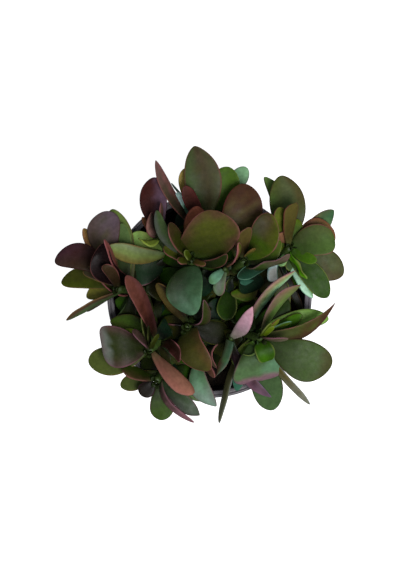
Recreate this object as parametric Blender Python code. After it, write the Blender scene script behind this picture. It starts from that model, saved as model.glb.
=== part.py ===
"""Potted trailing jade: a round nursery pot, its potting mix, eleven stems and the larger leaves.

Metres, +Z up. The origin is the centre of the pot's flat base, on the surface it stands on.
Every size below is in millimetres and becomes metres when a mesh is made.
"""
import math
from collections import namedtuple

import bmesh
import bpy
from mathutils import Vector

MM = 0.001
GAP = 0.3                  # clearance between solids that touch on the real plant

# Pot: a tapered plastic shell with a turned-down rim band and drain holes in its floor
POT_HEIGHT = 120
RIM_RADIUS = 75
RIM_BAND = 13              # height of the turned-down band
RIM_LIP = 3.6              # how far the lip stands out from the inner wall
BASE_RADIUS = 54
WALL = 1.8
FLOOR = 2.4
POT_SIDES = 48
DRAIN_HOLES = 8
DRAIN_CIRCLE = 40
DRAIN_RADIUS = 4.5

# Potting mix
SOIL_DEPTH = 20            # from the rim plane down to the soil
SOIL_BUMP = 0.8
SOIL_RINGS = 7
SOIL_SIDES = 36
PLANTING_DEPTH = 8         # how far a stem's foot goes down into the soil

# Stems and leaves
STEM_SIDES = 8
STEM_RINGS = 9
STEM_FOOT_RADIUS = 3.9
STEM_TIP_RADIUS = 2.7
LEAF_THICKNESS = 2.2
LEAF_STATIONS = (0.0, 0.12, 0.28, 0.45, 0.62, 0.78, 0.9, 0.975)
WIDEST = 0.62              # where along its length a leaf is widest
PETIOLE = 4.4              # width of a leaf where it leaves the stem

# Each stem is a cubic curve: x, y and height over the rim plane of its four control points.
# The first is at the soil, and below it the foot goes straight down.
STEMS = {
    "stem_west": ((-24, 2, -SOIL_DEPTH), (-42, 3, 4), (-56, 4, 15), (-65, 5, 24)),
    "stem_north_west": ((-14, 12, -SOIL_DEPTH), (-20, 20, -2), (-28, 30, 14), (-35, 40, 20)),
    "stem_centre": ((-6, 6, -SOIL_DEPTH), (-8, 14, 4), (-11, 20, 22), (-13, 25, 36)),
    "stem_north": ((-4, 22, -SOIL_DEPTH), (-6, 34, -2), (-6, 44, 8), (-4, 54, 14)),
    "stem_north_east": ((8, 6, -SOIL_DEPTH), (14, 14, 0), (20, 20, 16), (24, 25, 30)),
    "stem_east": ((22, 10, -SOIL_DEPTH), (38, 20, 2), (50, 26, 12), (59, 31, 22)),
    "stem_south_east": ((12, -14, -SOIL_DEPTH), (20, -24, 2), (28, -30, 16), (36, -30, 32)),
    "stem_south_west": ((-18, -12, -SOIL_DEPTH), (-28, -24, 0), (-36, -33, 12), (-43, -39, 24)),
    "stem_south_south_west": ((-17, -29, -SOIL_DEPTH), (-20, -38, -4), (-30, -52, 4), (-38, -61, 16)),
    "stem_inner_south": ((-4, -4, -SOIL_DEPTH), (-8, -12, 0), (-11, -18, 10), (-14, -24, 20)),
    "stem_south": ((2, -22, -SOIL_DEPTH), (-2, -32, -6), (-6, -38, 2), (-9, -43, 8)),
}

# A leaf runs from its stem to its tip (x, y, height over the rim plane). along: where it leaves
# the stem, 1 at the end. roll: how far its face turns to the right, seen from its stem; 90 is
# edge-on from above. arch lifts its middle towards its face, sway shifts it to the right, and
# cup lifts its margins.
Leaf = namedtuple("Leaf", "name stem along tip width roll arch sway cup")
LEAVES = (
    Leaf("leaf_west_round", "stem_west", 0.87, (-78, 62, 14), 24, 0, 1, 0, 1),
    Leaf("leaf_west_under", "stem_west", 0.75, (-70, 63, 8), 22, 0, 2, 0, 1),
    Leaf("leaf_west_maroon", "stem_west", 0.96, (-112, 27, 22), 20, 0, 2, -2, 1),
    Leaf("leaf_west_olive", "stem_west", 0.82, (-108, 10, 8), 16, 0, 1, 0, 1),
    Leaf("leaf_west_hollow", "stem_west", 1.0, (-80, 37, 40), 20, 0, -2, -5, 2),
    Leaf("leaf_west_blade", "stem_west", 0.92, (-104, -18, 14), 17, 76, 0, 0, 0),
    Leaf("leaf_west_low", "stem_west", 0.72, (-75, -24, 10), 20, 0, 2, 0, 1),
    Leaf("leaf_north_west_long", "stem_north_west", 0.72, (-73, 34, 29), 17, 40, 3, 0, 0),
    Leaf("leaf_north_west_blue", "stem_north_west", 0.4, (-66, 25, 2), 17, 0, 2, 3, 1),
    Leaf("leaf_north_west_purple", "stem_north_west", 0.97, (-41, 87, 16), 20, 0, 2, -4, 1),
    Leaf("leaf_centre_pale", "stem_centre", 0.95, (-14, -14, 34), 26, 0, 4, 6, 2),
    Leaf("leaf_centre_wide", "stem_centre", 0.94, (3, 62, 58), 38, 0, 0, 0, 2),
    Leaf("leaf_centre_upright", "stem_centre", 1.0, (-30, 52, 54), 15, 55, 0, -2, 0),
    Leaf("leaf_centre_grey", "stem_centre", 0.9, (-38, 61, 36), 16, 62, 0, 0, 0),
    Leaf("leaf_centre_brown", "stem_centre", 0.8, (-10, 66, 34), 20, 0, 0, 0, 1),
    Leaf("leaf_north_red", "stem_north", 0.85, (-39, 98, 18), 17, 58, 0, 0, 0),
    Leaf("leaf_north_top", "stem_north", 1.0, (-11, 109, 24), 28, 0, 3, 4, 1),
    Leaf("leaf_north_bright", "stem_north", 0.88, (13, 94, 8), 17, 0, 2, 0, 1),
    Leaf("leaf_north_east_round", "stem_north_east", 0.84, (26, 82, 28), 29, 0, 2, 0, 1),
    Leaf("leaf_north_east_olive", "stem_north_east", 1.0, (30, 49, 52), 14, 40, 0, 0, 0),
    Leaf("leaf_north_east_broad", "stem_north_east", 0.96, (47, 59, 42), 21, 0, 1, 0, 1),
    Leaf("leaf_north_east_wavy", "stem_north_east", 0.72, (57, 30, 38), 16, 76, 0, 2, 0),
    Leaf("leaf_east_green", "stem_east", 1.0, (92, 42, 26), 23, 0, 2, 0, 1),
    Leaf("leaf_east_under", "stem_east", 0.96, (92, 47, 16), 24, 0, 2, 0, 1),
    Leaf("leaf_east_pointed", "stem_east", 0.86, (91, 63, 4), 16, 0, 2, 0, 1),
    Leaf("leaf_east_north", "stem_east", 0.9, (54, 88, 18), 26, 0, 2, 0, 1),
    Leaf("leaf_east_inner", "stem_east", 0.97, (51, 66, 36), 15, 40, 0, 0, 0),
    Leaf("leaf_east_slim", "stem_east", 1.0, (62, 67, 38), 14, 60, 0, 0, 0),
    Leaf("leaf_east_low", "stem_east", 0.93, (86, -1, 16), 18, 0, 2, 0, 1),
    Leaf("leaf_east_grey", "stem_east", 0.87, (98, 19, 4), 25, 0, 2, 0, 1),
    Leaf("leaf_south_east_inner", "stem_south_east", 1.0, (62, 18, 48), 17, 55, 0, -6, 0),
    Leaf("leaf_south_east_blade", "stem_south_east", 0.92, (65, 8, 28), 17, 52, 0, 0, 0),
    Leaf("leaf_south_east_wide", "stem_south_east", 0.85, (35, -65, 19), 34, 0, 5, 0, 0),
    Leaf("leaf_south_east_under", "stem_south_east", 0.78, (46, -84, 0), 23, 0, 2, 0, 1),
    Leaf("leaf_south_east_big", "stem_south_east", 0.93, (89, -53, 24), 28, 0, 3, 0, 1),
    Leaf("leaf_south_east_dark", "stem_south_east", 0.97, (92, -5, 36), 18, 45, 0, 0, 0),
    Leaf("leaf_south_east_bright", "stem_south_east", 0.8, (86, -17, 20), 17, 0, 2, 0, 1),
    Leaf("leaf_south_west_silver", "stem_south_west", 0.97, (-79, -21, 28), 27, 0, 2, 0, 1),
    Leaf("leaf_south_west_curled", "stem_south_west", 0.84, (-22, -40, 36), 17, 0, 0, 0, 2),
    Leaf("leaf_south_west_olive", "stem_south_west", 0.85, (-89, -49, 10), 23, 0, 2, 0, 1),
    Leaf("leaf_south_west_dusty", "stem_south_west", 0.9, (-60, 14, 44), 17, 55, 0, 0, 0),
    Leaf("leaf_south_west_salmon", "stem_south_west", 1.0, (-12, -71, 24), 19, -35, 1, 0, 0),
    Leaf("leaf_south_south_west_grey", "stem_south_south_west", 0.97, (-7, -87, 12), 18, 0, 2, 0, 1),
    Leaf("leaf_south_south_west_green", "stem_south_south_west", 0.9, (-35, -92, 6), 18, 0, 2, 0, 1),
    Leaf("leaf_inner_south_oval", "stem_inner_south", 1.0, (0, -55, 26), 18, 30, 2, 0, 0),
    Leaf("leaf_inner_south_slim", "stem_inner_south", 0.95, (-38, 9, 30), 15, 50, 0, 0, 0),
    Leaf("leaf_south_pale", "stem_south", 0.97, (5, -81, 6), 16, 0, 2, 0, 1),
)


def principled(name, colour, roughness):
    material = bpy.data.materials.new(name)
    material.use_nodes = True
    shader = material.node_tree.nodes["Principled BSDF"]
    shader.inputs["Base Color"].default_value = (*colour, 1)
    shader.inputs["Roughness"].default_value = roughness
    shader.inputs["Metallic"].default_value = 0
    return material


def add_object(name, shape, material):
    """Turn a bmesh in millimetres into a named object in metres."""
    bmesh.ops.recalc_face_normals(shape, faces=shape.faces)
    bmesh.ops.scale(shape, vec=Vector((MM, MM, MM)), verts=shape.verts)
    mesh = bpy.data.meshes.new(name)
    shape.to_mesh(mesh)
    shape.free()
    mesh.shade_smooth()
    mesh.materials.append(material)
    thing = bpy.data.objects.new(name, mesh)
    bpy.context.scene.collection.objects.link(thing)
    return thing


def skin(rings):
    """A closed body over rings of equal count, with flat ends."""
    shape = bmesh.new()
    loops = [[shape.verts.new(point) for point in ring] for ring in rings]
    count = len(rings[0])
    for near, far in zip(loops, loops[1:]):
        for i in range(count):
            j = (i + 1) % count
            shape.faces.new((near[i], near[j], far[j], far[i]))
    shape.faces.new(reversed(loops[0]))
    shape.faces.new(loops[-1])
    return shape


def turned(profile, sides):
    """Spin an outline that starts and ends on the Z axis once round it."""
    shape = bmesh.new()
    verts = [shape.verts.new((radius, 0, z)) for radius, z in profile]
    edges = [shape.edges.new(pair) for pair in zip(verts, verts[1:])]
    bmesh.ops.spin(shape, geom=verts + edges, axis=(0, 0, 1), cent=(0, 0, 0),
                   angle=2 * math.pi, steps=sides, use_merge=True)
    bmesh.ops.remove_doubles(shape, verts=shape.verts, dist=0.001)
    return shape


def subtract(thing, cutter):
    cutter.hide_render = True
    cutter.display_type = "WIRE"
    cut = thing.modifiers.new(cutter.name, "BOOLEAN")
    cut.object = cutter
    cut.operation = "DIFFERENCE"
    cut.solver = "EXACT"


def wall_radius(z):
    """Inner radius of the pot wall at height z."""
    top = RIM_RADIUS - RIM_LIP
    inner_base = BASE_RADIUS - WALL
    return inner_base + (top - inner_base) * (z - FLOOR) / (POT_HEIGHT - FLOOR)


def pot_profile():
    band_foot = POT_HEIGHT - RIM_BAND
    return (
        (0, FLOOR),
        (wall_radius(FLOOR) - 2, FLOOR),
        (wall_radius(FLOOR + 2), FLOOR + 2),
        (wall_radius(POT_HEIGHT - 1.2), POT_HEIGHT - 1.2),
        (wall_radius(POT_HEIGHT) + 0.9, POT_HEIGHT),
        (RIM_RADIUS - 0.9, POT_HEIGHT),
        (RIM_RADIUS, POT_HEIGHT - 1.2),
        (RIM_RADIUS - 0.8, band_foot),
        (wall_radius(band_foot) + WALL, band_foot - 0.6),
        (BASE_RADIUS + 0.4, 2),
        (BASE_RADIUS - 1.5, 0),
        (0, 0),
    )


def make_pot(material):
    pot = add_object("pot", turned(pot_profile(), POT_SIDES), material)
    drill = bmesh.new()
    for i in range(DRAIN_HOLES):
        turn = 2 * math.pi * i / DRAIN_HOLES
        hole = bmesh.ops.create_cone(drill, cap_ends=True, segments=12, radius1=DRAIN_RADIUS,
                                     radius2=DRAIN_RADIUS, depth=4 * FLOOR)
        centre = Vector((DRAIN_CIRCLE * math.cos(turn), DRAIN_CIRCLE * math.sin(turn), 0))
        bmesh.ops.translate(drill, vec=centre, verts=hole["verts"])
    cutter = add_object("drain_cutter", drill, material)
    subtract(pot, cutter)


def soil_height(x, y):
    bumps = math.sin(x / 9 + 1.3) * math.cos(y / 11 + 0.4) + 0.5 * math.sin(x / 5 - y / 7)
    return POT_HEIGHT - SOIL_DEPTH + SOIL_BUMP * bumps / 1.5


def make_soil(material):
    """A solid plug of potting mix, clear of the pot all round, with a hole for each stem's foot."""
    bottom = FLOOR + GAP
    corner = bottom + 2
    outline = [(0, bottom), (wall_radius(bottom) - 2 - 2 * GAP, bottom),
               (wall_radius(corner) - 2 * GAP, corner)]
    top = POT_HEIGHT - SOIL_DEPTH
    rim = wall_radius(top) - 2 * GAP
    outline += [(rim * i / SOIL_RINGS, top) for i in range(SOIL_RINGS, -1, -1)]
    shape = turned(outline, SOIL_SIDES)
    for vert in shape.verts:
        if abs(vert.co.z - top) < 0.01:
            vert.co.z = soil_height(vert.co.x, vert.co.y)
    soil = add_object("soil", shape, material)
    dibber = bmesh.new()
    for name in STEMS:
        hole = bmesh.ops.create_cone(dibber, cap_ends=True, segments=12,
                                     radius1=STEM_FOOT_RADIUS + 2 * GAP,
                                     radius2=STEM_FOOT_RADIUS + 2 * GAP,
                                     depth=2 * (PLANTING_DEPTH + GAP))
        bmesh.ops.translate(dibber, vec=stem_point(name, 0), verts=hole["verts"])
    cutter = add_object("dibber", dibber, material)
    subtract(soil, cutter)


def stem_point(stem, t):
    a, b, c, d = (Vector((x, y, POT_HEIGHT + h)) for x, y, h in STEMS[stem])
    u = 1 - t
    return u ** 3 * a + 3 * u * u * t * b + 3 * u * t * t * c + t ** 3 * d


def stem_direction(stem, t):
    step = 0.01
    return (stem_point(stem, t) - stem_point(stem, t - step)).normalized()


def stem_radius(t):
    return STEM_FOOT_RADIUS + (STEM_TIP_RADIUS - STEM_FOOT_RADIUS) * t


def circle(centre, forward, radius):
    across = forward.cross(Vector((0.2, -0.9, 0.4))).normalized()
    up = across.cross(forward)
    turns = [2 * math.pi * k / STEM_SIDES for k in range(STEM_SIDES)]
    return [centre + radius * (math.cos(a) * across + math.sin(a) * up) for a in turns]


def make_stem(name, material):
    """A tapered tube with a straight foot in the soil and a round end."""
    upright = Vector((0, 0, 1))
    rings = [circle(stem_point(name, 0) - PLANTING_DEPTH * upright, upright, STEM_FOOT_RADIUS)]
    for i in range(STEM_RINGS):
        t = i / (STEM_RINGS - 1)
        forward = stem_direction(name, t) if i else upright
        rings.append(circle(stem_point(name, t), forward, stem_radius(t)))
    for turn in (30, 60):
        ahead = STEM_TIP_RADIUS * math.sin(math.radians(turn))
        radius = STEM_TIP_RADIUS * math.cos(math.radians(turn))
        rings.append(circle(stem_point(name, 1) + ahead * forward, forward, radius))
    add_object(name, skin(rings), material)


def leaf_tip(leaf):
    x, y, h = leaf.tip
    return Vector((x, y, POT_HEIGHT + h))


def leaf_axes(along, roll):
    """The directions of a leaf's face and of its right-hand margin."""
    side = along.cross(Vector((0, 0, 1))).normalized()
    turn = math.radians(roll)
    face = math.cos(turn) * side.cross(along) + math.sin(turn) * side
    return face, along.cross(face)


def leaf_base(leaf):
    """The point where the leaf starts, with its foot just clear of the stem's surface."""
    foot = stem_point(leaf.stem, leaf.along)
    forward = stem_direction(leaf.stem, leaf.along)
    reach = (leaf_tip(leaf) - foot).normalized()
    if leaf.along >= 1:
        return foot + (STEM_TIP_RADIUS + GAP) * reach
    outward = (reach - reach.dot(forward) * forward).normalized()
    face, right = leaf_axes(reach, leaf.roll)
    foot_reach = PETIOLE * abs(right.dot(outward)) + LEAF_THICKNESS * abs(face.dot(outward))
    return foot + (stem_radius(leaf.along) + GAP + 0.5 * foot_reach) * outward


def half_width(s, width):
    """Half the blade's width at s, from a narrow foot to a broad round tip."""
    if s < WIDEST:
        spread = math.sin(0.5 * math.pi * s / WIDEST) ** 1.2
        return 0.5 * (PETIOLE + (width - PETIOLE) * spread)
    return 0.5 * width * math.sqrt(1 - ((s - WIDEST) / (1 - WIDEST)) ** 2)


def make_leaf(leaf, material):
    base = leaf_base(leaf)
    tip = leaf_tip(leaf)
    length = (tip - base).length
    along = (tip - base).normalized()
    face, right = leaf_axes(along, leaf.roll)
    rings = []
    for s in LEAF_STATIONS:
        swell = 4 * s * (1 - s)
        centre = base + length * s * along + leaf.arch * swell * face + leaf.sway * swell * right
        half = half_width(s, leaf.width)
        thick = 0.5 * LEAF_THICKNESS * (1 - 0.4 * s)
        lift = leaf.cup * (2 * half / leaf.width) ** 2
        shoulder = 0.6
        mid_lift = lift * shoulder ** 2
        rings.append([
            centre - half * right + lift * face,
            centre - shoulder * half * right + (mid_lift + thick) * face,
            centre + shoulder * half * right + (mid_lift + thick) * face,
            centre + half * right + lift * face,
            centre + shoulder * half * right + (mid_lift - thick) * face,
            centre - shoulder * half * right + (mid_lift - thick) * face,
        ])
    add_object(leaf.name, skin(rings), material)


def main():
    for thing in list(bpy.data.objects):
        bpy.data.objects.remove(thing, do_unlink=True)
    make_pot(principled("pot plastic", (0.03, 0.027, 0.03), 0.45))
    make_soil(principled("potting mix", (0.03, 0.02, 0.014), 0.95))
    for name in STEMS:
        make_stem(name, principled(f"{name} skin", (0.16, 0.2, 0.09), 0.5))
    for leaf in LEAVES:
        make_leaf(leaf, principled(f"{leaf.name} skin", (0.12, 0.2, 0.07), 0.45))


main()
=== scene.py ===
"""The looks of the potted trailing jade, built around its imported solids."""
import math
import random
from collections import namedtuple

import bmesh
import bpy
import numpy as np
from mathutils import Matrix, Vector


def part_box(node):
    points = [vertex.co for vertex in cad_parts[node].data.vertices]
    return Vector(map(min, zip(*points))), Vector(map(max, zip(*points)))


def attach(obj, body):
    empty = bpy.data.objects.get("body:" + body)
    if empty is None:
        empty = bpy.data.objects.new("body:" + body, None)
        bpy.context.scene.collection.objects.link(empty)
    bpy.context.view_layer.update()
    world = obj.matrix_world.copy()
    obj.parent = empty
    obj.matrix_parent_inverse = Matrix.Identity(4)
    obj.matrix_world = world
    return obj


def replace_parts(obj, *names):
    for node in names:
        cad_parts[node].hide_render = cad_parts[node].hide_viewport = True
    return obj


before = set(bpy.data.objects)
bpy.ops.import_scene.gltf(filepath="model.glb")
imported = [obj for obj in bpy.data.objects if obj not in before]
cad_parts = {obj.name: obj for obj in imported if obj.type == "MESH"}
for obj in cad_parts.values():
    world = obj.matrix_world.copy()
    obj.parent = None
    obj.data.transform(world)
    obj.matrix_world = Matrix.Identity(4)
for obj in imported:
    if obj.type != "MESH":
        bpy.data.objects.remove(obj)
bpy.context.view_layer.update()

# Lengths are given in mm and angles in degrees, unless a comment says otherwise.
MM = 0.001
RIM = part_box("pot")[1].z / MM  # height of the pot's rim plane
RIM_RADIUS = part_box("pot")[1].x / MM
MIX = -20  # height of the potting mix over the rim plane
SOIL_TOP = RIM + MIX
UP = Vector((0, 0, 1))

# -------------------- palette (linear colours), with the tones for painted highlights and painted shade
TONES = {
    "olive": (0.055, 0.062, 0.009),
    # a dark green, and also painted shade where it is washed over part of a leaf
    "deep": (0.018, 0.034, 0.003),
    "mid": (0.046, 0.092, 0.010),
    "sage": (0.072, 0.115, 0.042),
    "pale": (0.090, 0.200, 0.060),
    "lime": (0.125, 0.190, 0.014),
    "bright": (0.036, 0.115, 0.004),
    "blue": (0.010, 0.042, 0.020),
    "teal": (0.036, 0.115, 0.075),
    "brown": (0.070, 0.033, 0.020),
    "maroon": (0.036, 0.006, 0.008),
    # painted shade, for hollows, leaf feet and sides turned from the light
    "black": (0.005, 0.002, 0.003),
    "purple": (0.062, 0.026, 0.038),
    "red": (0.115, 0.024, 0.024),
    "salmon": (0.210, 0.084, 0.070),
    "mauve": (0.200, 0.085, 0.110),
    # partly a leaf's own tint, partly a painted sheen: bands of reflected light
    "lavender": (0.160, 0.120, 0.180),
    "pink": (0.330, 0.110, 0.120),
    "rose": (0.215, 0.072, 0.066),
    "tan": (0.190, 0.105, 0.036),
    # a painted sheen: the silvery reflections on leaves
    "silver": (0.150, 0.165, 0.150),
    # a painted highlight: the brightest reflections on leaves
    "frost": (0.360, 0.420, 0.370),
    "straw": (0.200, 0.240, 0.060),
    # partly a leaf's own tint, partly a painted highlight: the cool reflections on steep leaves
    "mint": (0.130, 0.270, 0.180),
    "flame": (0.070, 0.210, 0.006),
}

# -------------------- stems
# Four control points each: x, y and height over the rim plane.
STEMS = {
    "stem_west": ((-24, 2, MIX), (-42, 3, 4), (-56, 4, 15), (-65, 5, 24)),
    "stem_north_west": ((-14, 12, MIX), (-20, 20, -2), (-28, 30, 14), (-35, 40, 20)),
    "stem_centre": ((-6, 6, MIX), (-8, 14, 4), (-11, 20, 22), (-13, 25, 36)),
    "stem_north": ((-4, 22, MIX), (-6, 34, -2), (-4, 45, 8), (0, 55, 14)),
    "stem_north_east": ((8, 6, MIX), (14, 14, 0), (20, 20, 16), (24, 25, 30)),
    "stem_east": ((22, 10, MIX), (38, 20, 2), (49, 27, 12), (57, 34, 22)),
    "stem_south_east": ((12, -14, MIX), (20, -24, 2), (28, -30, 16), (36, -30, 32)),
    "stem_south_west": ((-18, -12, MIX), (-28, -24, 0), (-36, -33, 12), (-43, -39, 24)),
    "stem_south_south_west": ((-17, -29, MIX), (-20, -38, -4), (-30, -52, 4), (-38, -61, 16)),
    "stem_inner_south": ((-4, -4, MIX), (-8, -12, 0), (-12, -17, 10), (-16, -22, 20)),
    "stem_south": ((2, -22, MIX), (-2, -32, -6), (-6, -38, 2), (-9, -43, 8)),
}
TWIGS = {
    "twig_inner": ((15, 15, 2), (13, 16, 10), (11, 18, 18), (11, 19, 26)),
    "twig_fork": ((13, -24, MIX), (13, -26, -6), (13, -29, 8), (15.5, -31, 22)),
}
ROUTES = {**STEMS, **TWIGS}
FOOT_RADIUS = 3.9
TIP_RADIUS = 2.7
TWIG_SLIMNESS = 0.6
PLANTING_DEPTH = 8
JOINTS = 8  # how many times a stem swells on its way up
JOINT_SWELL = 0.25
STEM_RINGS = 48
STEM_SIDES = 20
ROUND_END = (25, 50, 70, 84)  # where the rings of a stem's round end lie

# -------------------- leaves
# A leaf runs from its stem to its tip (x, y, height over the rim plane). along: where it leaves
# the stem, 1 at the end. roll: how far its face turns to the right, seen from its stem; 90 is
# edge-on from above. skin: its ground tone, then washes over it, each "tone where strength", or
# "tone strength" all over; besides the leaf's own colours, the washes hold painted highlights and
# painted shade, where light catches it and where shade falls on it. rim: the tone of its margin.
# Every leaf takes the values in FORM which it doesn't name. arch lifts its middle towards its
# face, sway shifts it to the right, and bend shifts it in x, y and height. cup lifts both margins
# and lift_right the right one; wave ripples them, and skew draws the right one forward and the
# left one back. point sharpens the tip, or blunts it below 0. widest: where it is widest, 1 at
# the tip. taper slims its lower half. thick and petiole: how thick and wide its foot is. edge:
# how strongly its margin shows. shade: how bright it is, with the light and shade that fall on
# it painted into its colour.
FORM = {"arch": 0, "sway": 0, "cup": 0, "bend": (0, 0, 0), "point": 0.15, "widest": 0.62, "taper": 0.95,
        "wave": 0, "lift_right": 0, "skew": 0, "thick": 2.2, "petiole": 4.4, "edge": 0.85, "shade": 1}
Leaf = namedtuple("Leaf", ["name", "along", "tip", "width", "roll", "skin", "rim", *FORM, "stem"],
                  defaults=(*FORM.values(), None))
RICHNESS = 1.09  # how much more saturated than its tones a leaf is
UNDERSIDE = 0.45  # how far a leaf's underside turns dusky
PALE_FOOT = 0.3
MOTTLE = 0.09
GROOVE = 0.35  # depth of the groove along a leaf's foot
SWELL = 0.22  # height of the unevenness of a leaf's face
WAVES = 1.6  # ripples along a wavy leaf
FOOT_SINK = 0.4  # how far a leaf's foot sinks into its stem
BROAD_LEAF = 15  # a leaf wider than this has more faces
LEAST_HALF_WIDTH = 0.25

# The low leaves and buds on each stem, with heights over the rim plane.
LOW_LEAVES = 12
LOW_LENGTHS = (22, 32)
LOW_WIDTHS = (13, 20)
LOW_GREENS = ("deep", "bright", "blue", "olive")
LOW_REACH = 66  # how far from the pot's axis their tips may lie
LOW_CEILING = -2  # their tips' highest place beside a stem's lower part
LOW_FLOOR = -12  # and their lowest place
GOLDEN_ANGLE = 137.5
BUD_LENGTHS = (2.5, 4)
BUD_WIDTHS = (3, 4)

leaves = []


def grow(stem, prefix, *rows):
    """Set leaves on a stem, and its prefix before their names."""
    leaves.extend(row._replace(name=prefix + row.name, stem=stem) for row in rows)


grow(
    "stem_west", "west_",
    Leaf("round", 0.87, (-77, 61, 14), 25, 0,
         "olive, purple .35, purple right .5, lavender tip .4, olive base .8, brown left .4", "brown",
         arch=2, bend=(-5, 0, 3), widest=0.78, taper=2.6, shade=1.12),
    Leaf("under", 0.75, (-71, 63, 8), 18, 0, "sage, lime tip .3, brown base .5, brown .15", "tan", arch=2,
         cup=1, bend=(2, 0, 0), shade=1.4),
    Leaf("stub", 0.75, (-92, 49, 8), 10, 5, "olive, tan .8, rose left .3", "tan", bend=(-3, 0, 0), shade=3),
    Leaf("textured", 0.85, (-63.4, 52.5, 16), 13, 0, "sage, deep .4, sage tip .3, black base .8", "straw",
         shade=1.35),
    Leaf("maroon", 0.96, (-111, 27.7, 22), 20, 0, "olive, maroon .9, purple tip .7, olive left .2", "maroon",
         arch=2, cup=1, bend=(0, 10, 2), point=-0.1, widest=0.66, taper=1.3, shade=0.75),
    Leaf("olive", 0.82, (-108, 10, 8), 16, 0, "olive, lime left .3", "tan", arch=1, cup=1, bend=(0, 5.5, 0),
         taper=1.2, shade=0.58),
    Leaf("dark", 0.98, (-91, 18, 26), 11, 0, "olive, brown .5, deep right .5", "tan", cup=1, bend=(0, 3, 0),
         shade=0.32),
    Leaf("hollow", 0.65, (-77, 37, 42), 19, -12, "deep, maroon 1, black mid .4", "rose", arch=-1, cup=3,
         bend=(-10, -4, 10), taper=0.8, edge=0.5, shade=0.13),
    Leaf("pink", 1, (-75.1, 40, 46), 9, 70, "olive, red .8, black base .5, pink tip .3", "pink",
         bend=(2, 0, 2)),
    Leaf("young", 1, (-75, 22, 46), 9, -10, "olive, red .4, brown .3", "rose", bend=(1, 1, 4), point=-0.2,
         widest=0.65, shade=0.38),
    Leaf("blade", 0.92, (-104, -18, 14), 13, -70, "sage, brown right .9, brown rim .3, deep left .5", "tan",
         bend=(0, 1.5, 0)),
    Leaf("second", 0.8, (-89.5, -12, 2), 9, -66, "mid, brown .7, black base .8", "olive", bend=(0, 3, 0),
         shade=0.6),
    Leaf("bit", 0.84, (-90, -1, 4), 12, 0, "olive, brown .25", "olive", bend=(0, 3, 0), shade=3.5),
    Leaf("low", 0.7, (-68, -19, 4), 12, 0, "mid, brown left .7, brown tip .4", "sage", arch=2, cup=1,
         bend=(4, -4, 0), shade=0.16),
    Leaf("crescent", 0.7, (-58, -10, 8), 8, 20, "bright", "straw"),
    Leaf("edge", 0.5, (-80, 12, 24), 5, 70, "brown, rose .5", "rose", bend=(0, -8, 0), shade=0.26),
)
grow(
    "stem_north_west", "north_west_",
    Leaf("long", 0.72, (-73, 35, 29), 14.5, -20,
         "sage, straw .45, tan left .5, deep left .3, silver right .3", "tan", arch=1, bend=(0, -3, 2),
         point=0.3, shade=1.15),
    Leaf("blue", 0.6, (-66, 24, 12), 22, 0, "blue, deep .3, deep right .4", "mauve", arch=2, cup=1,
         bend=(0, -8, 2), shade=0.68),
    Leaf("purple", 0.97, (-40.6, 85.7, 16), 20, 0, "deep, maroon .9, purple right .9, lavender right .3",
         "maroon", arch=2, sway=-2, cup=1, bend=(-1.5, 0, 0), taper=1.6, shade=1.2),
    Leaf("pale", 0.8, (-58, 43, 12), 15, 0,
         "sage, straw .45, olive .2, deep left .4, mid base .5, pale tip .4", "straw", cup=1, shade=2.2),
    Leaf("crescent", 1, (-51, 41, 30), 11, 65, "lime, straw .5, black right .8", "straw", bend=(0, -3, 0),
         shade=2.1),
    Leaf("dark", 0.95, (-42, 60, 26), 9, 20,
         "deep, purple .6, mauve left .5, tan left .3, black right .95, black base .6", "rose",
         bend=(-4, -4, 0), shade=1.3),
    Leaf("stub", 0.85, (-49, 57, 12), 6, 0, "olive, red .6", "rose", shade=1.9),
    Leaf("bit", 1, (-35, 67, 26), 8, 75, "sage, pink .5", "pink", shade=0.5),
)
grow(
    "stem_centre", "centre_",
    Leaf("pale", 0.95, (-13, -14, 34), 26, 0,
         "blue, sage .3, deep right .7, pale left .4, mint left .25, mint tip .4", "pale", arch=3, cup=2,
         bend=(-5, 0, 0), point=0.35, widest=0.5, taper=0.5, edge=0.3, shade=0.66),
    Leaf("wide", 0.94, (2.6, 60.5, 56), 38, 0, "olive, brown rim .8, deep base .5", "rose", cup=2,
         bend=(5, -1, 4), widest=0.52, taper=0.22, skew=6, edge=1, shade=1.06),
    Leaf("crease", 0.97, (12.3, 29.2, 52), 8, 30, "deep, brown edge .5, black base .3", "rose",
         bend=(2, -4, 0), edge=0.9, shade=0.52),
    Leaf("upright", 1, (-29, 51, 54), 15, 50, "olive, deep .4, brown tip .6", "rose", bend=(-1, 0, 0),
         shade=0.6),
    Leaf("grey", 0.9, (-38, 61, 40), 12, -45, "sage, lavender left .3, silver left .4", "sage",
         bend=(-4, -3, 4), shade=0.88),
    Leaf("brown", 0.8, (-9, 64.2, 34), 18, 0, "olive, red .6, red tip .4", "red", cup=1, edge=1, shade=2.5),
    Leaf("bud_a", 1, (-23, 25, 46), 6, 20, "lime, tan .3, deep .3", "rose", shade=0.28),
    Leaf("bud_b", 1, (-3, 22, 44), 4.5, -20, "olive, tan .4", "rose", shade=0.6),
    Leaf("bud_c", 1, (-18, 32, 48), 5, 30, "lime", "straw", shade=0.26),
    Leaf("fold", 0.85, (-33, 35, 34), 10, 15, "olive, deep left .4", "rose", cup=1, bend=(0, 1, 2), edge=1,
         shade=0.9),
)
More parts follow.
